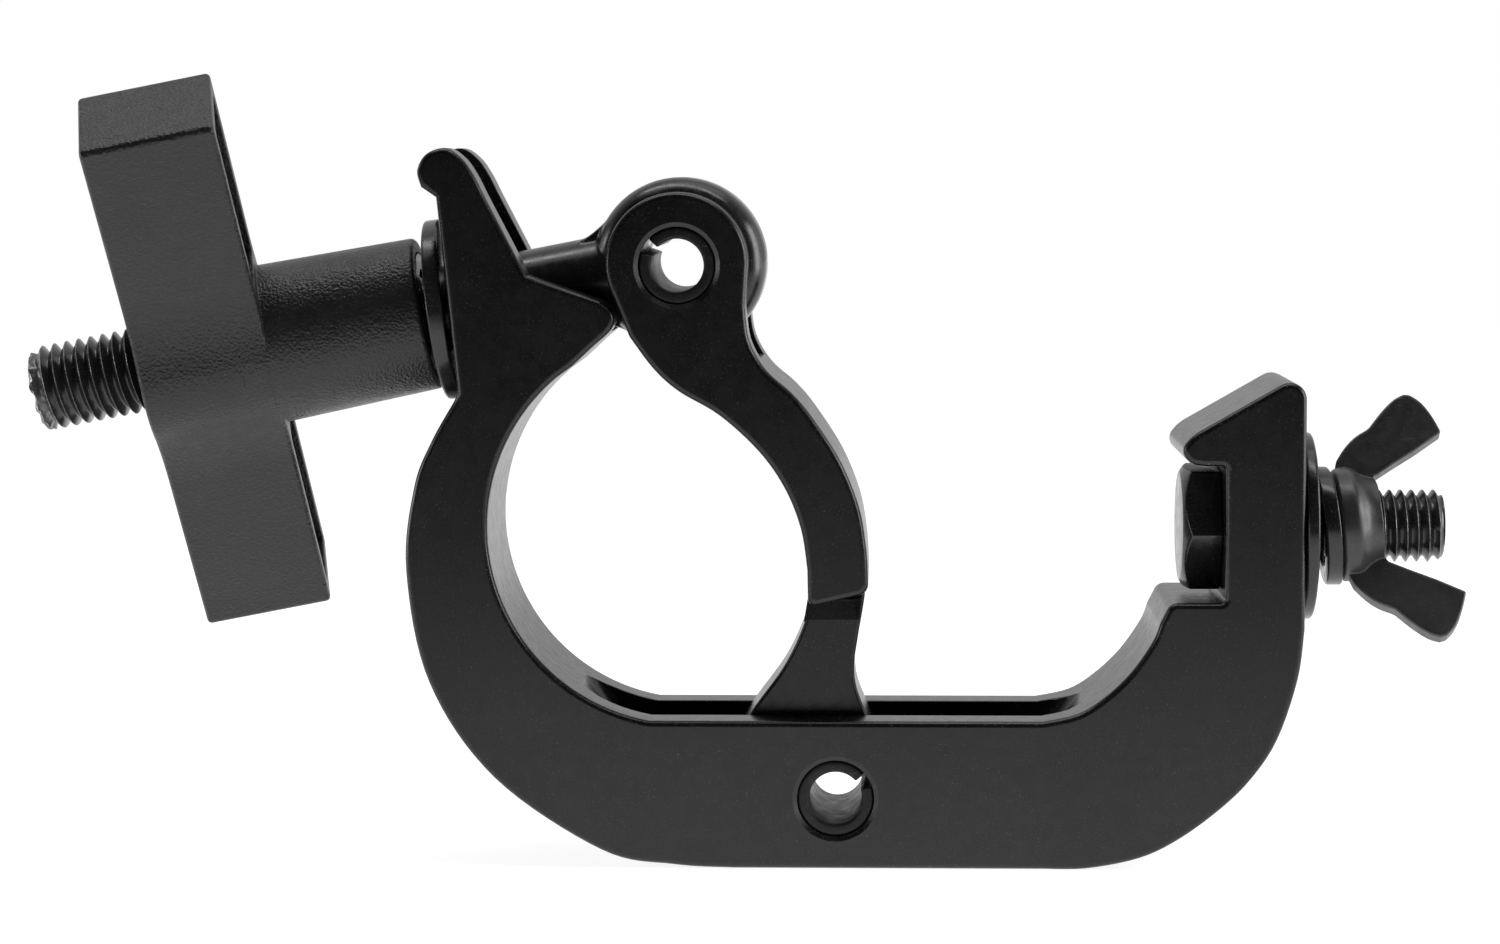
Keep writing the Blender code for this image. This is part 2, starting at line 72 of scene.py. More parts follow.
# Pins
LOWER_PIN = (29.25, -38.1)
UPPER_PIN = (4.4, 46.4)
PIN_RADIUS = 6.0
PIN_WALL = 1.8
PIN_LENGTH = 28.6
PIN_SLIT = 2.3
LOWER_SLIT_ANGLE = 30.0
UPPER_SLIT_ANGLE = 148.0
PIN_BORE = 6.04
PIN_RIM_RADIUS = 6.8
PIN_RIM_DEPTH = 0.8

# Eyebolt and handle: u runs from the upper pin out along the bolt
BOLT_TILT = 11.0
EYE_RADIUS = 13.8
EYE_THICKNESS = 14.0
EYE_ROUNDING = 4.2
M14 = (6.9, 5.7, 2.0)        # crest radius, root radius, pitch
BOLT_END_U = 106.5
THREAD_START_U = 40.0
STAKING_SEED = 5             # of the beaten end
PRONG_FACE_U = 36.7
WASHER_RADIUS = 14.5
WASHER_THICKNESS = 2.6
WASHER_TILT = 7.4
WASHER_BORE = 7.5
WASHER_U = 37.7
BARREL_START_U = 41.5
BARREL_RADII = (12.3, 13.0)
BAR_U = (67.7, 88.9)
BAR_ENDS = (47.0, 48.1)
BAR_THICKNESS = 17.1
BAR_TURN = 33.4
BAR_RAKE = (3.6, 4.4)
HUB_FILLET = 26.0
WING_WALL = 2.6
WING_POCKET_DEPTH = 17.5
INSERT_RADIUS = 10.0
INSERT_LENGTH = 30.0

# Fixture bolt
FIXTURE_AXIS_Z = 4.05
HEAD_FLATS = 19.0
HEAD_START_X = 84.3
HEAD_END_X = 90.56
HEAD_TURN = 3.0
M12 = (5.85, 4.85, 1.75)
M12_END_X = 126.3
M12_HOLE_RADIUS = 6.6
FLAT_WASHER_X = 103.4
FLAT_WASHER_RADIUS = 15.0
FLAT_WASHER_THICKNESS = 2.0
SPRING_WASHER_X = 109.4      # outer face on the axis
SPRING_WASHER_RADII = (6.4, 9.5)
SPRING_WASHER_THICKNESS = 2.55
SPRING_WASHER_LEAN = 5.7
NUT_X = 109.5
NUT_TILT = 5.7
NUT_BASE_RADIUS = 9.1
NUT_TOP_RADIUS = 6.9
NUT_LENGTH = 6.9
NUT_TURN = 27.0
WING_THICKNESS = 3.2


# ---------------------------------------------------------------- outlines

def arc(centre, radius, start, end, step=ARC_STEP):
    steps = max(2, round(abs(end - start) / step))
    angles = [math.radians(start + (end - start) * i / steps) for i in range(steps + 1)]
    return [(centre[0] + radius * math.cos(a), centre[1] + radius * math.sin(a)) for a in angles]


def curve(points, per_span=6):
    ends = [points[0]] + list(points) + [points[-1]]
    out = []
    for i in range(len(points) - 1):
        a, b, c, d = (Vector(p) for p in ends[i:i + 4])
        for k in range(per_span):
            t = k / per_span
            p = 0.5 * (2 * b + (c - a) * t + (2 * a - 5 * b + 4 * c - d) * t ** 2
                       + (3 * b - a - 3 * c + d) * t ** 3)
            out.append((p.x, p.y))
    out.append(tuple(points[-1]))
    return out


def rounded(previous, corner, following, radius):
    corner = Vector(corner)
    back = (Vector(previous) - corner).normalized()
    ahead = (Vector(following) - corner).normalized()
    half = back.angle(ahead) / 2
    start = corner + back * radius / math.tan(half)
    end = corner + ahead * radius / math.tan(half)
    centre = corner + (back + ahead).normalized() * radius / math.sin(half)
    first = start - centre
    turn = first.angle_signed(end - centre)
    steps = max(3, round(abs(math.degrees(turn)) / 10))
    return [tuple(centre + Matrix.Rotation(-turn * i / steps, 2) @ first) for i in range(steps + 1)]


def bolt_point(u, v):
    tilt = math.radians(BOLT_TILT)
    x = UPPER_PIN[0] - u * math.cos(tilt) - v * math.sin(tilt)
    z = UPPER_PIN[1] - u * math.sin(tilt) + v * math.cos(tilt)
    return x, z


# ---------------------------------------------------------------- mesh tools

def new_object(name, bm, matrix=Matrix.Identity(4)):
    """The mesh is given in millimetres; matrix places it, also in millimetres."""
    bmesh.ops.transform(bm, matrix=matrix, verts=bm.verts)
    bmesh.ops.recalc_face_normals(bm, faces=bm.faces)
    mesh = bpy.data.meshes.new(name)
    bm.to_mesh(mesh)
    bm.free()
    obj = bpy.data.objects.new(name, mesh)
    bpy.context.collection.objects.link(obj)
    return obj


def prism(outline, low, high):
    """A solid whose outline lies in XZ, from Y = low to Y = high."""
    bm = bmesh.new()
    face = bm.faces.new([bm.verts.new((x, low, z)) for x, z in outline])
    top = bmesh.ops.extrude_face_region(bm, geom=[face])["geom"]
    moved = [v for v in top if isinstance(v, bmesh.types.BMVert)]
    bmesh.ops.translate(bm, vec=(0.0, high - low, 0.0), verts=moved)
    return bm


def turned(profile, segments, axis="X"):
    """A solid of revolution. The profile lists (distance along the axis, radius).

    It starts and ends on the axis, or else it is a closed ring.
    """
    bm = bmesh.new()
    ring = profile[0][1] > 0
    loops = []
    for along, radius in profile:
        count = segments if radius else 1
        angles = [math.tau * i / segments for i in range(count)]
        loops.append([bm.verts.new((along, radius * math.cos(a), radius * math.sin(a))) for a in angles])
    pairs = list(zip(loops, loops[1:]))
    if ring:
        pairs.append((loops[-1], loops[0]))
    for near, far in pairs:
        for i in range(segments):
            j = (i + 1) % segments
            corners = [near[i % len(near)], near[j % len(near)], far[j % len(far)], far[i % len(far)]]
            face = list(dict.fromkeys(corners))
            if len(face) > 2:
                bm.faces.new(face)
    if axis == "Y":
        bmesh.ops.rotate(bm, cent=(0, 0, 0), matrix=Matrix.Rotation(math.pi / 2, 3, "Z"), verts=bm.verts)
    return bm


def ring_profile(low, high, inner, outer, edge):
    """The profile of a washer or sleeve whose four edges are rounded."""
    steps = 4
    profile = []
    for along, radius, start in ((low + edge, outer - edge, 180), (high - edge, outer - edge, 90),
                                 (high - edge, inner + edge, 0), (low + edge, inner + edge, -90)):
        for i in range(steps + 1):
            angle = math.radians(start - 90 * i / steps)
            profile.append((along + edge * math.cos(angle), radius + edge * math.sin(angle)))
    return profile


def bevel(obj, width, segments, angle=50.0):
    mod = obj.modifiers.new("bevel", "BEVEL")
    mod.width = width
    mod.segments = segments
    mod.limit_method = "ANGLE"
    mod.angle_limit = math.radians(angle)
    mod.use_clamp_overlap = False
    mod.miter_outer = "MITER_ARC"


def combine(obj, tool, operation):
    mod = obj.modifiers.new(tool.name, "BOOLEAN")
    mod.operation = operation
    mod.object = tool
    mod.solver = "EXACT"
    apply(obj)
    bpy.data.objects.remove(tool)


def cut(obj, bm, matrix=Matrix.Identity(4)):
    combine(obj, new_object("tool", bm, matrix), "DIFFERENCE")


def join(obj, bm):
    combine(obj, new_object("tool", bm), "UNION")


def apply(obj):
    """Puts the modifiers' result into the mesh."""
    graph = bpy.context.evaluated_depsgraph_get()
    mesh = bpy.data.meshes.new_from_object(obj.evaluated_get(graph))
    obj.modifiers.clear()
    old = obj.data
    obj.data = mesh
    bpy.data.meshes.remove(old)


def tidy(obj):
    """Welds the crumbs that a cut leaves, and joins the coplanar faces."""
    bm = bmesh.new()
    bm.from_mesh(obj.data)
    bmesh.ops.remove_doubles(bm, verts=bm.verts, dist=CRUMB)
    bmesh.ops.dissolve_degenerate(bm, edges=bm.edges, dist=CRUMB)
    bmesh.ops.dissolve_limit(bm, angle_limit=math.radians(COPLANAR_ANGLE), verts=bm.verts, edges=bm.edges)
    bm.to_mesh(obj.data)
    bm.free()


def finish_piece(obj, body, nodes, mat, sharp=35.0):
    """Turns millimetres into metres, shades the piece and puts it on its body."""
    obj.data.transform(Matrix.Scale(MM, 4))
    obj.data.shade_smooth()
    obj.data.set_sharp_from_angle(angle=math.radians(sharp))
    obj.data.materials.clear()
    obj.data.materials.append(mat)
    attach(obj, body)
    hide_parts(*nodes)
    return obj


def keep_flat(obj):
    """Large flat faces keep their own shading, and the rounded edges take the blend."""
    mod = obj.modifiers.new("weights", "WEIGHTED_NORMAL")
    mod.weight = 100
    mod.keep_sharp = True
    mod.mode = "FACE_AREA"


def pin_hole(pin, width):
    half = width / 2
    profile = [(-half - 1, 0), (-half - 1, PIN_RIM_RADIUS + 1), (-half, PIN_RIM_RADIUS),
               (-half + PIN_RIM_DEPTH * 0.6, PIN_BORE + 0.1), (-half + PIN_RIM_DEPTH, PIN_BORE)]
    profile += [(-x, r) for x, r in reversed(profile)]
    return turned(profile, 96, "Y"), Matrix.Translation((pin[0], 0, pin[1]))


# ---------------------------------------------------------------- materials

def add(tree, kind, inputs=None, **settings):
    made = tree.nodes.new("ShaderNode" + kind)
    for key, value in settings.items():
        setattr(made, key, value)
    for key, value in (inputs or {}).items():
        if isinstance(value, bpy.types.NodeSocket):
            tree.links.new(value, made.inputs[key])
        else:
            made.inputs[key].default_value = value
    return made


def spread(tree, value, low, high, to_low=0.0, to_high=1.0):
    """Maps a value from one range to another and clamps it."""
    return add(tree, "MapRange", {0: value, 1: low, 2: high, 3: to_low, 4: to_high}).outputs[0]


def blend(tree, factor, first, second):
    """Mixes two colours."""
    def rgba(c):
        return c if isinstance(c, bpy.types.NodeSocket) else (*c, 1.0)
    return add(tree, "Mix", {0: factor, 6: rgba(first), 7: rgba(second)}, data_type="RGBA").outputs[2]


def maths(tree, operation, first, second=0.0):
    return add(tree, "Math", {0: first, 1: second}, operation=operation).outputs[0]


def grain(tree, coords, per_mm, detail=3.0, rough=0.55, stretch=(1, 1, 1), turn=(0, 0, 0)):
    """Noise with the given number of features per millimetre."""
    scale = [1000 * per_mm * s for s in stretch]
    mapping = add(tree, "Mapping", {"Vector": coords, "Rotation": turn, "Scale": scale})
    return add(tree, "TexNoise", {"Vector": mapping.outputs[0], "Scale": 1.0, "Detail": detail,
                                  "Roughness": rough}).outputs[0]


def edge_mask(tree, radius_mm, low, high):
    """1 on rounded and sharp edges, 0 on open faces."""
    rounded_normal = add(tree, "Bevel", {"Radius": radius_mm * MM}, samples=4).outputs[0]
    flat_normal = add(tree, "NewGeometry").outputs["Normal"]
    dot = add(tree, "VectorMath", {0: rounded_normal, 1: flat_normal}, operation="DOT_PRODUCT")
    return spread(tree, dot.outputs["Value"], 1.0 - low, 1.0 - high)


def finish_material(name, colours, roughness, bump, speck, edges, grain_per_mm, worn=None,
                    specular=0.5, scratches=0.0, leather=0.0):
    """A coated surface: mottled colour, light specks, fine bump and brighter edges.

    speck is (share, brightness), edges is (radius in mm, share), and worn is the grey of the bare
    metal where the mesh is marked with the attribute wear.
    """
    mat = bpy.data.materials.new(name)
    mat.use_nodes = True
    tree = mat.node_tree
    shader = tree.nodes["Principled BSDF"]
    coords = add(tree, "TexCoord").outputs["Object"]
    cloud = grain(tree, coords, 0.05, 2.0)
    fine = grain(tree, coords, grain_per_mm, 4.0, 0.6)
    colour = blend(tree, spread(tree, cloud, 0.35, 0.65), colours[0], colours[1])
    dots = spread(tree, grain(tree, coords, 3.4, 2.0), 0.62, 0.72)
    gate = spread(tree, grain(tree, coords, 0.35, 2.0), 0.25, 0.65)
    shown = maths(tree, "MULTIPLY", maths(tree, "MULTIPLY", dots, gate), speck[0])
    colour = blend(tree, shown, colour, (speck[1], speck[1], speck[1]))
    rough = spread(tree, grain(tree, coords, 0.5, 3.0), 0.3, 0.7, roughness[0], roughness[1])
    height = fine
    if leather:
        cells = add(tree, "TexVoronoi", {"Vector": coords, "Scale": 1000 * leather}, feature="F1",
                    distance="EUCLIDEAN").outputs["Distance"]
        height = maths(tree, "ADD", maths(tree, "MULTIPLY", cells, 0.9), fine)
    if scratches:
        lines = grain(tree, coords, 1.0, 3.0, 0.7, (0.12, 5.0, 5.0), (0.3, 0.5, 0.9))
        marks = spread(tree, lines, 0.66, 0.72)
        rough = maths(tree, "ADD", rough, maths(tree, "MULTIPLY", marks, 0.15))
        colour = blend(tree, maths(tree, "MULTIPLY", marks, scratches), colour, (0.16, 0.16, 0.165))
    mask = edge_mask(tree, edges[0], 0.02, 0.3)
    broken = maths(tree, "MULTIPLY", mask, spread(tree, grain(tree, coords, 0.6, 4.0), 0.3, 0.6))
    colour = blend(tree, maths(tree, "MULTIPLY", broken, edges[1]), colour, (0.22, 0.22, 0.225))
    if worn:
        marked = add(tree, "Attribute", attribute_name="wear").outputs["Fac"]
        patch = spread(tree, grain(tree, coords, 1.4, 4.0, 0.7), 0.36, 0.56, 0.15, 1.0)
        bare = maths(tree, "MULTIPLY", marked, patch)
        colour = blend(tree, bare, colour, (worn, worn, worn * 1.01))
        tree.links.new(spread(tree, bare, 0.0, 1.0), shader.inputs["Metallic"])
    tree.links.new(colour, shader.inputs["Base Color"])
    tree.links.new(rough, shader.inputs["Roughness"])
    shader.inputs["Specular IOR Level"].default_value = specular
    relief = add(tree, "Bump", {"Strength": bump[0], "Distance": bump[1] * MM, "Height": height})
    tree.links.new(relief.outputs[0], shader.inputs["Normal"])
    return mat


powder = finish_material(
    "powder_coat", colours=((0.004, 0.004, 0.0042), (0.0075, 0.0075, 0.0078)), roughness=(0.25, 0.31),
    bump=(0.2, 0.011), speck=(0.85, 0.12), edges=(0.5, 0.16), grain_per_mm=4.0)
black_steel = finish_material(
    "black_steel", colours=((0.009, 0.009, 0.0094), (0.017, 0.017, 0.0175)), roughness=(0.16, 0.3),
    bump=(0.2, 0.012), speck=(0.5, 0.12), edges=(0.35, 0.45), grain_per_mm=2.2, scratches=0.35,
    worn=0.35, specular=0.6)
cast_nut = finish_material(
    "cast_nut", colours=((0.018, 0.018, 0.0185), (0.034, 0.034, 0.0345)), roughness=(0.3, 0.44),
    bump=(0.4, 0.04), speck=(0.5, 0.14), edges=(0.4, 0.4), grain_per_mm=1.6, scratches=0.6,
    worn=0.3, specular=0.7)
moulded = finish_material(
    "moulded_grip", colours=((0.012, 0.012, 0.0125), (0.018, 0.018, 0.0185)), roughness=(0.3, 0.42),
    bump=(0.8, 0.13), speck=(0.3, 0.16), edges=(0.35, 0.25), grain_per_mm=1.8, leather=2.0)
pin_steel = finish_material(
    "pin_steel", colours=((0.008, 0.008, 0.0085), (0.016, 0.016, 0.0165)), roughness=(0.32, 0.5),
    bump=(0.4, 0.03), speck=(0.4, 0.14), edges=(0.3, 0.4), grain_per_mm=1.4, scratches=0.8, specular=0.3)


# ---------------------------------------------------------------- hook

def prong_face(z):
    x, z0 = bolt_point(PRONG_FACE_U, 0)
    return x - (z - z0) * math.tan(math.radians(PRONG_TILT))


def hook_outline():
    toe = curve([(62.0, BASE_Z), (69.0, -49.2), (77.4, -47.5), (83.7, -44.4), (90.0, -39.7), (94.9, -34.8),
                 (99.0, -28.4), (102.1, -18.9), (103.1, -11.0)], 5)
    nose = (86.0, 20.1)
    corner = rounded((ARM_FACE_X, 0), (ARM_FACE_X, 29.9), nose, 2.7)
    ceiling = (87.2, POCKET[2])
    beak = curve([nose, (84.8, 19.1), (83.9, 17.8), (84.0, 16.4), (85.2, 15.2), ceiling], 4)
    inner = (POCKET[0], POCKET[2])
    pocket = rounded(ceiling, inner, (POCKET[0], 0), 0.8)
    pocket += rounded((POCKET[0], 0), (POCKET[0], POCKET[1]), (80, POCKET[1]), 0.8)
    shoulder = rounded((POCKET[0], POCKET[1]), (82.0, POCKET[1]), (79.0, -13.0), 1.8)
    heel = curve([(80.4, -10.0), (79.2, -13.0), (75.8, -17.9), (71.6, -21.9), (67.4, -24.5),
                  (62.0, LIP_Z)], 5)
    seat_low = -180 - math.degrees(math.asin((LIP_Z - SEAT_CENTRE[1]) / SEAT_RADIUS))
    seat = arc(SEAT_CENTRE, SEAT_RADIUS, seat_low, -230)
    beak_tip = curve([(-12.1, 30.6), (-8.9, 33.6), (-6.0, 36.3), (-5.6, 38.8), (-7.8, 40.9)], 6)
    prong = [(-19.3, 44.8)]
    prong += curve([(-26.0, 57.8), (-27.4, 60.6), (-29.2, 63.2), (-31.8, 64.9), (-34.9, 64.0), (-36.4, 61.4),
                    (-35.8, 58.8)], 6)
    face = [(prong_face(z), z) for z in (57.2, 26.4)]
    outer = curve([(-31.0, 24.9), (-34.6, 18.6), (-37.4, 11.4), (-38.8, -1.8), (-35.3, -19.7), (-25.0, -35.0),
                   (-8.0, -46.5), (3.6, -48.8), (13.0, BASE_Z)], 8)
    return toe + corner + beak + pocket + shoulder + heel + seat + beak_tip + prong + face + outer


def make_hook():
    half = BODY_WIDTH / 2
    slot = SLOT_WIDTH / 2
    hook = new_object("hook_body", prism(hook_outline(), -half, half))
    bevel(hook, EDGE_RADIUS, 5)
    apply(hook)
    rim_centre = (slot - RIM_ROUNDING, CHANNEL_RADIUS - RIM_ROUNDING)
    rim = [(rim_centre[0] + y, rim_centre[1] + r) for y, r in arc((0, 0), RIM_ROUNDING, 0, 90, 15)]
    channel = turned([(slot, 0)] + rim + [(-y, r) for y, r in reversed(rim)] + [(-slot, 0)], 180, "Y")
    cut(hook, channel, Matrix.Translation((LOWER_PIN[0], 0, CHANNEL_CENTRE_Z)))
    foot_room = [(12.5, -20.0), (12.5, -42.3), (18.0, -44.6), (24.0, -45.8), (29.25, -46.0), (34.5, -45.8),
                 (40.5, -44.6), (46.0, -42.3), (46.0, -20.0)]
    cut(hook, prism(foot_room, -slot, slot))
    floor = -M14[0] - 1.3
    fork = [bolt_point(60, floor), bolt_point(8, floor), bolt_point(8, 45), bolt_point(60, 45)]
    cut(hook, prism(fork, -slot, slot))
    eye_room = EYE_RADIUS + 0.8
    relief = turned([(-slot, 0), (-slot, eye_room), (slot, eye_room), (slot, 0)], 96, "Y")
    cut(hook, relief, Matrix.Translation((UPPER_PIN[0], 0, UPPER_PIN[1])))
    cut(hook, *pin_hole(LOWER_PIN, BODY_WIDTH))
    hole = turned([(POCKET[0] - 5, 0), (POCKET[0] - 5, M12_HOLE_RADIUS), (ARM_FACE_X + 5, M12_HOLE_RADIUS),
                   (ARM_FACE_X + 5, 0)], 64)
    cut(hook, hole, Matrix.Translation((0, 0, FIXTURE_AXIS_Z)))
    tidy(hook)
    bevel(hook, CUT_EDGE, 2, 58)
    apply(hook)
    finish_piece(hook, "clamp_body", ["hook"], powder)
    keep_flat(hook)


# ---------------------------------------------------------------- jaw

def jaw_outline():
    boss = arc((UPPER_PIN[0] - 0.1, UPPER_PIN[1] + 0.3), BOSS_RADIUS, 0, 205)
    inner = curve([(-3.1, 35.2), (0.6, 30.2), (4.6, 26.6), (11.0, 22.8), (17.2, 17.1), (21.3, 11.2),
                   (23.8, 4.8), (24.8, -1.7)], 6)
    outer = curve([(34.4, -1.4), (34.1, 2.3), (33.0, 8.4), (30.1, 15.6), (25.6, 22.6), (22.4, 26.4),
                   (18.4, 30.0), (15.8, 34.6), (15.1, 40.0)], 6)
    end = (24.9, -7.6), (34.5, -5.35)
    foot = rounded(inner[-1], end[0], end[1], 1.2) + rounded(end[0], end[1], outer[0], 1.9)
    return boss + inner + foot + outer


def tongue_outline():
    left = curve([(25.3, 0.0), (24.9, -7.6), (23.7, -12.2), (20.7, -18.3), (15.3, -25.8), (13.4, -30.5),
                  (14.6, -37.0), (20.4, -43.2)], 6)
    foot = arc(LOWER_PIN, FOOT_RADIUS, 230, 362)
    right = curve([(36.5, -32.0), (34.4, -26.2), (32.6, -21.5), (32.2, -17.5), (32.8, -13.0), (34.0, -5.0),
                   (33.6, 3.0)], 6)
    return left + foot + right


def make_ramp(tongue_half, half):
    """The sloping block on both sides of the tongue, under the jaw's wide part."""
    bm = bmesh.new()
    rise = half - EDGE_RADIUS - 0.3 - tongue_half
    layers = ((RAMP_Z, 0.05), (RAMP_Z + 0.62 * rise, rise))
    for side in (-1, 1):
        rows = []
        for z, out in ((RAMP_Z - 0.4, -0.5), *layers, (RAMP_Z + 0.62 * rise, -0.5)):
            left = 24.15 + (z - RAMP_Z) * 0.17
            right = 32.95 + (z - RAMP_Z) * 0.125
            rows.append([bm.verts.new((x, side * (tongue_half + out), z)) for x in (left, right)])
        for near, far in zip(rows, rows[1:] + rows[:1]):
            bm.faces.new([near[0], near[1], far[1], far[0]])
        for end in (0, 1):
            bm.faces.new([row[end] for row in rows])
    return bm


def make_jaw():
    half = BODY_WIDTH / 2
    tongue_half = TONGUE_WIDTH / 2
    jaw = new_object("jaw_body", prism(jaw_outline(), -half, half))
    bevel(jaw, EDGE_RADIUS, 5)
    apply(jaw)
    gap = CLEVIS_GAP / 2
    cut(jaw, prism([(-30, CLEVIS_FLOOR_Z), (40, CLEVIS_FLOOR_Z), (40, 70), (-30, 70)], -gap, gap))
    cut(jaw, *pin_hole(UPPER_PIN, BODY_WIDTH))
    tidy(jaw)
    bevel(jaw, CUT_EDGE, 2, 58)
    apply(jaw)
    tongue = new_object("tongue", prism(tongue_outline(), -tongue_half, tongue_half))
    bevel(tongue, 0.6, 4)
    apply(tongue)
    cut(tongue, *pin_hole(LOWER_PIN, BODY_WIDTH))
    join(tongue, make_ramp(tongue_half, half))
    combine(jaw, tongue, "UNION")
    finish_piece(jaw, "jaw", ["jaw"], powder)
    keep_flat(jaw)


# ---------------------------------------------------------------- pins

def make_pin(name, pin, slit_angle, body):
    """A rolled spring pin: a tube with a slit along its whole length and chamfered ends."""
    half_slit = math.degrees(PIN_SLIT / 2 / PIN_RADIUS)
    half = PIN_LENGTH / 2
    section = ring_profile(-half, half, PIN_RADIUS - PIN_WALL, PIN_RADIUS, 0.45)
    bm = bmesh.new()
    count = 110
    loops = []
    for i in range(count + 1):
        angle = math.radians(slit_angle + half_slit + (360 - 2 * half_slit) * i / count)
        across, up = math.cos(angle), math.sin(angle)
        loops.append([bm.verts.new((pin[0] + radius * across, along, pin[1] + radius * up))
                      for along, radius in section])
    loft(bm, loops)
    obj = new_object(name, bm)
    bevel(obj, 0.2, 2, 60)
    apply(obj)
    finish_piece(obj, body, [name.replace("spring_", "")], pin_steel)


def loft(bm, loops):
    """Joins closed loops into one capped body."""
    for near, far in zip(loops, loops[1:]):
        for i in range(len(near)):
            j = (i + 1) % len(near)
            bm.faces.new([near[i], near[j], far[j], far[i]])
    bm.faces.new(loops[0])
    bm.faces.new(loops[-1])


# ---------------------------------------------------------------- threads

def thread(start, end, sizes, rough_end=0.0):
    """A right-hand screw thread along X, with chamfered ends.

    rough_end is how far the last turns are beaten out of shape, in millimetres. The crests and that end
    are marked as worn.
    """
    crest, root, pitch = sizes
    segments = 64
    shape = ((0.0, 0.0), (0.1, 0.0), (0.44, 0.92), (0.5, 1.0), (0.56, 0.92), (0.9, 0.0))
    turns = math.ceil((end - start) / pitch) + 3
    bm = bmesh.new()
    wear = bm.verts.layers.float.new("wear")

    def point(column, row):
        angle = math.tau * column / segments
        lap, step = divmod(row, len(shape))
        along, lift = shape[step]
        x = start + pitch * (lap - 2 + along + column / segments)
        radius = root + (crest - root) * lift
        x = min(max(x, start), end)
        if x in (start, end):
            radius = root + 0.15
            lift = 0.0
        limit = root + 0.15 + min(x - start, end - x) * 0.9
        return x, min(radius, limit), angle, lift

    rows = turns * len(shape)
    for column in range(segments):
        lines = []
        for c in (column, column + 1):
            line = []
            for row in range(rows):
                x, radius, angle, lift = point(c, row)
                co = Vector((x, radius * math.cos(angle), radius * math.sin(angle)))
                if rough_end and x > end - 2.2:
                    amount = rough_end * (x - end + 2.2) / 2.2
                    co += noise.noise_vector(co * 0.9) * amount
                    co.x = min(co.x, end)
                    lift = max(lift, 0.965)
                vert = bm.verts.new(co)
                vert[wear] = max(0.0, lift - 0.93) / 0.07
                line.append(vert)
            lines.append(line)
        for row in range(rows - 1):
            bm.faces.new([lines[0][row], lines[0][row + 1], lines[1][row + 1], lines[1][row]])
    bmesh.ops.remove_doubles(bm, verts=bm.verts, dist=0.003)
    bmesh.ops.dissolve_degenerate(bm, edges=bm.edges, dist=0.002)
    rims = [e for e in bm.edges if e.is_boundary]
    bmesh.ops.holes_fill(bm, edges=rims, sides=0)
    return bm


# ---------------------------------------------------------------- eyebolt and handle

def bolt_matrix():
    return (Matrix.Translation((UPPER_PIN[0], 0, UPPER_PIN[1]))
            @ Matrix.Rotation(math.radians(180 - BOLT_TILT), 4, "Y"))


def soften(obj, voxel, rounds):
    """Merges a forged or cast shape into one skin with small fillets."""
    remesh = obj.modifiers.new("skin", "REMESH")
    remesh.mode = "VOXEL"
    remesh.voxel_size = voxel
    remesh.adaptivity = 0.0
    smooth = obj.modifiers.new("smooth", "CORRECTIVE_SMOOTH")
    smooth.iterations = rounds
    smooth.factor = 0.5
    smooth.smooth_type = "SIMPLE"
    smooth.use_only_smooth = True
    apply(obj)


def make_eyebolt():
    half = EYE_THICKNESS / 2
    edge_centre = (half - EYE_ROUNDING, EYE_RADIUS - EYE_ROUNDING)
    edge = [(edge_centre[0] + x, edge_centre[1] + r) for x, r in arc((0, 0), EYE_ROUNDING, 0, 90, 9)]
    profile = [(half - 0.4, PIN_BORE), (half, PIN_BORE + 0.4)] + edge + [(-x, r) for x, r in reversed(edge)]
    profile += [(-half, PIN_BORE + 0.4), (-half + 0.4, PIN_BORE)]
    eye = new_object("eyebolt_eye", turned(profile, 96, "Y"))
    join(eye, turned([(PIN_BORE + 2, 0), (PIN_BORE + 2, M14[0]), (THREAD_START_U - 0.6, M14[0]),
                      (THREAD_START_U + 0.4, M14[1]), (THREAD_START_U + 0.4, 0)], 72))
    for side in (1, -1):
        gusset = [(9.6, 9.6), (11.4, 8.4), (12.6, 7.7), (13.8, 7.1), (15.2, 6.7), (15.2, 5.0), (9.0, 5.0)]
        join(eye, prism([(x, side * z) for x, z in gusset], -3.0, 3.0))
    cut(eye, turned([(-half - 1, 0), (-half - 1, PIN_BORE), (half + 1, PIN_BORE), (half + 1, 0)], 96, "Y"))
    soften(eye, 0.28, 6)
    eye.data.transform(bolt_matrix())
    finish_piece(eye, "eyebolt", ["eyebolt"], black_steel, 180)
    noise.seed_set(STAKING_SEED)
    turns = thread(THREAD_START_U, BOLT_END_U, M14, rough_end=0.9)
    screw = new_object("eyebolt_thread", turns, bolt_matrix())
    finish_piece(screw, "eyebolt", ["eyebolt"], black_steel, 60)

    lean = Matrix.Rotation(math.radians(BOLT_TILT - WASHER_TILT), 4, "Y")
    place = bolt_matrix() @ Matrix.Translation((WASHER_U, 0, 0)) @ lean
    profile = ring_profile(0, WASHER_THICKNESS, WASHER_BORE, WASHER_RADIUS, 0.45)
    washer = new_object("eyebolt_washer_ring", turned(profile, 128), place)
    finish_piece(washer, "handle_carriage", ["eyebolt_washer"], black_steel)


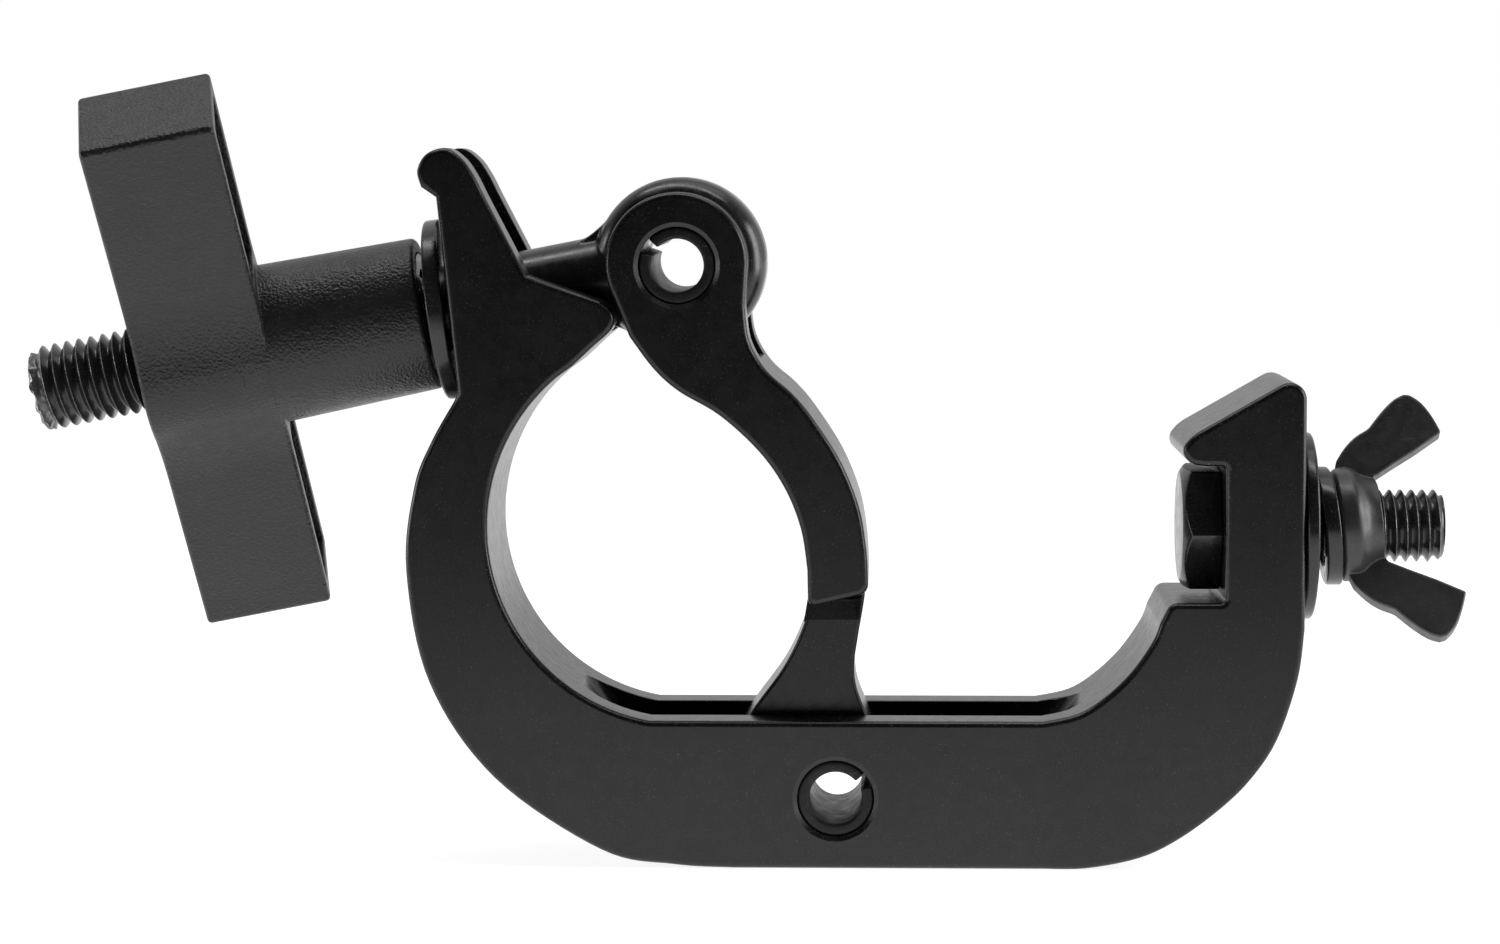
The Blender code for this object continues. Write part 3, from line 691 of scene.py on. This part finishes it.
def handle_section():
    hub = BARREL_RADII[1]
    half = BAR_THICKNESS / 2
    rise = half + HUB_FILLET
    reach = math.sqrt((hub + HUB_FILLET) ** 2 - rise ** 2)
    meet = math.degrees(math.atan2(rise, reach))
    section = []
    for side, end in ((0, BAR_ENDS[0]), (180, BAR_ENDS[1])):
        turn = Matrix.Rotation(math.radians(-side), 2)
        corner = rounded((0, -half), (end, -half), (end, half), 1.1)
        corner += rounded((end, -half), (end, half), (0, half), 1.1)
        fillet = arc((reach, rise), HUB_FILLET, -90, -180 + meet)
        crown = arc((0, 0), hub, meet, 180 - meet)
        other = arc((-reach, rise), HUB_FILLET, -meet, -90)
        section += [tuple(turn @ Vector(p)) for p in corner + fillet + crown[1:] + other[1:]]
    return section


def along_bolt():
    """Turns a solid built along Y into one along the bolt, leans it and turns it about the bolt."""
    matrix = Matrix(((0, 1, 0), (0, 0, 1), (-1, 0, 0))).to_4x4()
    lean_long, lean_thick = (math.tan(math.radians(a)) for a in BAR_RAKE)
    lean = Matrix(((1, lean_thick, lean_long, 0), (0, 1, 0, 0), (0, 0, 1, 0), (0, 0, 0, 1)))
    return Matrix.Rotation(math.radians(-BAR_TURN), 4, "X") @ lean @ matrix


def make_handle():
    bar_start, bar_end = BAR_U
    handle = new_object("handle_grip", prism(handle_section(), bar_start, bar_end), along_bolt())
    bevel(handle, 0.75, 4)
    apply(handle)
    barrel = [(BARREL_START_U, 0), (BARREL_START_U, BARREL_RADII[0] - 0.8)]
    barrel += [(BARREL_START_U + 0.8 - 0.8 * math.cos(math.radians(a)),
                BARREL_RADII[0] - 0.8 + 0.8 * math.sin(math.radians(a))) for a in (30, 60, 90)]
    barrel += [(bar_start + 4, BARREL_RADII[1]), (bar_start + 4, 0)]
    join(handle, turned(barrel, 128))
    start = BARREL_RADII[1] + 1.5
    half = BAR_THICKNESS / 2 - WING_WALL
    for side, reach in ((1, BAR_ENDS[0]), (-1, BAR_ENDS[1])):
        end = reach - WING_WALL
        corners = [(side * start, -half), (side * end, -half), (side * end, half), (side * start, half)]
        outline = []
        for i in range(4):
            outline += rounded(corners[i - 1], corners[i], corners[(i + 1) % 4], 1.2)
        cut(handle, prism(outline, bar_start - 6, bar_start + WING_POCKET_DEPTH), along_bolt())
    insert_end = BARREL_START_U + INSERT_LENGTH
    bore = turned([(BARREL_START_U - 2, 0), (BARREL_START_U - 2, INSERT_RADIUS), (insert_end, INSERT_RADIUS),
                   (insert_end, M14[0] + 0.4), (bar_end + 5, M14[0] + 0.4), (bar_end + 5, 0)], 96)
    cut(handle, bore)
    tidy(handle)
    bevel(handle, 0.3, 2, 50)
    apply(handle)
    handle.data.transform(bolt_matrix())
    finish_piece(handle, "handle", ["handle"], moulded)
    keep_flat(handle)
    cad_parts["handle_insert"].data.materials.clear()
    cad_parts["handle_insert"].data.materials.append(black_steel)


# ---------------------------------------------------------------- fixture bolt

def make_fixture_bolt():
    lift = Matrix.Translation((0, 0, FIXTURE_AXIS_Z))
    corner = HEAD_FLATS / 2 / math.cos(math.pi / 6)
    angles = [math.radians(60 * i) for i in range(6)]
    hexagon = [(corner * math.cos(a), corner * math.sin(a)) for a in angles]
    upright = Matrix.Rotation(math.radians(90), 4, "Z")
    spin = Matrix.Rotation(math.radians(HEAD_TURN), 4, "X")
    head = new_object("bolt_head", prism(hexagon, -HEAD_END_X, -HEAD_START_X), spin @ upright)
    bevel(head, 0.35, 3)
    apply(head)
    face = [(HEAD_START_X, 0), (HEAD_START_X, 8.7), (HEAD_START_X + 1.9, 11.6), (HEAD_END_X + 1, 11.6),
            (HEAD_END_X + 1, 0)]
    combine(head, new_object("chamfer", turned(face, 128)), "INTERSECT")
    join(head, turned([(HEAD_START_X + 2, 0), (HEAD_START_X + 2, M12[0]), (106.0, M12[0]), (106.6, M12[1]),
                       (106.6, 0)], 64))
    tidy(head)
    bevel(head, 0.2, 2, 28)
    apply(head)
    head.data.transform(lift)
    finish_piece(head, "clamp_body", ["fixture_bolt"], black_steel)
    screw = new_object("bolt_thread", thread(106.2, M12_END_X, M12), lift)
    finish_piece(screw, "clamp_body", ["fixture_bolt"], black_steel, 60)


def make_washers():
    lift = Matrix.Translation((0, 0, FIXTURE_AXIS_Z))
    profile = ring_profile(FLAT_WASHER_X, FLAT_WASHER_X + FLAT_WASHER_THICKNESS, 6.5, FLAT_WASHER_RADIUS, 0.5)
    flat = new_object("flat_washer_ring", turned(profile, 128), lift)
    finish_piece(flat, "nut_carriage", ["flat_washer"], black_steel)

    inner, outer = SPRING_WASHER_RADII
    lean = math.tan(math.radians(SPRING_WASHER_LEAN))
    section = ring_profile(-SPRING_WASHER_THICKNESS, 0, inner, outer, 0.4)
    bm = bmesh.new()
    count = 110
    loops = []
    for i in range(count + 1):
        turn = i / count
        angle = math.radians(8 + 344 * turn)
        sag = 1.3 * max(0.0, 1.0 - turn / 0.42) ** 1.5
        loop = []
        for along, radius in section:
            y = radius * math.cos(angle)
            z = radius * math.sin(angle)
            loop.append(bm.verts.new((SPRING_WASHER_X + along - sag - lean * z, y, z)))
        loops.append(loop)
    loft(bm, loops)
    spring = new_object("spring_washer_coil", bm, lift)
    bevel(spring, 0.25, 2, 60)
    apply(spring)
    finish_piece(spring, "wing_nut", ["spring_washer"], black_steel)


def nut_matrix():
    turn = Matrix.Rotation(math.radians(-NUT_TURN), 4, "X")
    tilt = Matrix.Rotation(math.radians(-NUT_TILT), 4, "Y")
    return Matrix.Translation((NUT_X, 0, 0)) @ tilt @ turn


def make_wing_nut():
    base = NUT_BASE_RADIUS
    flank = curve([(2.7, base), (3.4, base - 0.35), (4.6, base - 1.35), (5.9, NUT_TOP_RADIUS + 0.25),
                   (NUT_LENGTH, NUT_TOP_RADIUS)], 3)
    hub = turned([(0, 0), (0, base - 0.5), (0.5, base)] + flank + [(NUT_LENGTH, 0)], 96)
    nut = new_object("wing_nut_body", hub, nut_matrix())
    for side in (1, -1):
        wing = [(0.9, 5.0), (0.8, 8.7)] + curve([(1.4, 10.6), (3.0, 12.7), (4.9, 14.4), (6.8, 15.4)], 3)
        wing += curve([(7.4, 15.8), (9.6, 18.2), (11.9, 20.2), (13.7, 21.0)], 3)
        wing += curve([(14.7, 20.8), (16.3, 19.3), (17.7, 16.8), (18.8, 13.8)], 4)
        wing += [(14.4, 11.2), (10.2, 9.0), (7.3, 7.4), (6.2, 5.0)]
        outline = [(x, side * r) for x, r in wing]
        plate = new_object("wing", prism(outline, -WING_THICKNESS / 2, WING_THICKNESS / 2), nut_matrix())
        bevel(plate, 0.3, 2, 40)
        apply(plate)
        combine(nut, plate, "UNION")
    bore = M12[0] + 0.3
    cut(nut, turned([(NUT_X - 5, 0), (NUT_X - 5, bore), (NUT_X + 15, bore), (NUT_X + 15, 0)], 72))
    soften(nut, 0.18, 2)
    nut.data.transform(Matrix.Translation((0, 0, FIXTURE_AXIS_Z)))
    finish_piece(nut, "wing_nut", ["wing_nut"], cast_nut, 180)


make_hook()
make_jaw()
make_pin("lower_spring_pin", LOWER_PIN, LOWER_SLIT_ANGLE, "clamp_body")
make_pin("upper_spring_pin", UPPER_PIN, UPPER_SLIT_ANGLE, "jaw")
make_eyebolt()
make_handle()
make_fixture_bolt()
make_washers()
make_wing_nut()


# ---------------------------------------------------------------- studio

CAMERA_PLACE = (36.89, -592.82, 63.06)
CAMERA_TURN = (0.036415, -0.084735, -0.002774)   # yaw, pitch and roll in radians
LENS = 88.471
SENSOR_WIDTH = 36.0
FLOOR_HALF_SIZE = 6.0
SOFTBOXES = (                # name, place, aim, width, height, radiance
    ("top", (0.02, 0.05, 0.75), (0.03, 0.0, 0.0), 0.9, 0.4, 0.9),
    ("left", (-0.75, 0.0, 0.03), (0.0, 0.0, 0.0), 0.8, 0.5, 0.75),
    ("right", (0.8, 0.0, 0.12), (0.05, 0.0, 0.0), 0.8, 0.7, 0.8),
    ("strip_top", (0.02, -0.03, 0.72), (0.03, 0.0, 0.0), 0.9, 0.1, 4.5),
    ("strip_left", (-0.72, -0.06, 0.06), (0.0, 0.0, 0.0), 0.28, 0.5, 4.0),
    ("strip_right", (0.77, -0.1, 0.1), (0.05, 0.0, 0.0), 0.3, 0.7, 5.0),
)


def make_camera():
    yaw, pitch, roll = CAMERA_TURN
    forward = Vector((-math.sin(yaw) * math.cos(pitch), math.cos(yaw) * math.cos(pitch), math.sin(pitch)))
    level = Vector((math.cos(yaw), math.sin(yaw), 0))
    upward = level.cross(forward)
    right = math.cos(roll) * level + math.sin(roll) * upward
    up = -math.sin(roll) * level + math.cos(roll) * upward
    data = bpy.data.cameras.new("camera")
    data.sensor_fit = "HORIZONTAL"
    data.sensor_width = SENSOR_WIDTH
    data.lens = LENS
    data.clip_start = 0.02
    data.clip_end = 50
    camera = bpy.data.objects.new("camera", data)
    place = Matrix((right, up, -forward)).transposed().to_4x4()
    place.translation = Vector(CAMERA_PLACE) * MM
    camera.matrix_world = place
    bpy.context.collection.objects.link(camera)
    bpy.context.scene.camera = camera


def make_floor():
    """Pale floor. What it throws back at the part fades towards the front, as a lit sweep does."""
    bm = bmesh.new()
    size = FLOOR_HALF_SIZE
    corners = [(-size, -size), (size, -size), (size, size), (-size, size)]
    bm.faces.new([bm.verts.new((x, y, BASE_Z * MM)) for x, y in corners])
    mesh = bpy.data.meshes.new("floor")
    bm.to_mesh(mesh)
    bm.free()
    floor = bpy.data.objects.new("floor", mesh)
    bpy.context.collection.objects.link(floor)
    mat = bpy.data.materials.new("floor_white")
    mat.use_nodes = True
    tree = mat.node_tree
    shader = tree.nodes["Principled BSDF"]
    shader.inputs["Base Color"].default_value = (0.5, 0.5, 0.5, 1)
    shader.inputs["Roughness"].default_value = 0.9
    shader.inputs["Specular IOR Level"].default_value = 0.0
    shader.inputs["Emission Color"].default_value = (1, 1, 1, 1)
    shader.inputs["Emission Strength"].default_value = 0.87
    place = add(tree, "NewGeometry").outputs["Position"]
    ahead = add(tree, "SeparateXYZ", {0: place}).outputs["Y"]
    glow = spread(tree, ahead, -0.55, -0.16, 0.02, 1.15)
    bounce = add(tree, "Emission", {"Strength": glow})
    seen = add(tree, "LightPath").outputs["Is Camera Ray"]
    both = add(tree, "MixShader", {0: seen, 1: bounce.outputs[0], 2: shader.outputs[0]})
    tree.links.new(both.outputs[0], tree.nodes["Material Output"].inputs["Surface"])
    mesh.materials.append(mat)


def make_softbox(name, place, aim, width, height, radiance):
    data = bpy.data.lights.new(name, "AREA")
    data.shape = "RECTANGLE"
    data.size = width
    data.size_y = height
    data.energy = radiance * math.pi * width * height
    lamp = bpy.data.objects.new(name, data)
    lamp.location = place
    direction = Vector(aim) - Vector(place)
    lamp.rotation_euler = direction.to_track_quat("-Z", "Y").to_euler()
    bpy.context.collection.objects.link(lamp)


def make_world():
    """White for the camera. For everything else it is bright behind the part and dark in front."""
    world = bpy.data.worlds.new("studio")
    bpy.context.scene.world = world
    world.use_nodes = True
    tree = world.node_tree
    backdrop = tree.nodes["Background"]
    direction = add(tree, "TexCoord").outputs["Generated"]
    depth = add(tree, "SeparateXYZ", {0: direction}).outputs["Y"]
    glow = spread(tree, depth, -0.15, 0.6, 0.012, 0.7)
    seen = add(tree, "LightPath").outputs["Is Camera Ray"]
    strength = maths(tree, "MAXIMUM", glow, seen)
    backdrop.inputs["Color"].default_value = (1, 1, 1, 1)
    tree.links.new(strength, backdrop.inputs["Strength"])


make_camera()
make_floor()
make_world()
for box in SOFTBOXES:
    make_softbox(*box)

view = bpy.context.scene.view_settings
view.view_transform = "Standard"
view.look = "None"
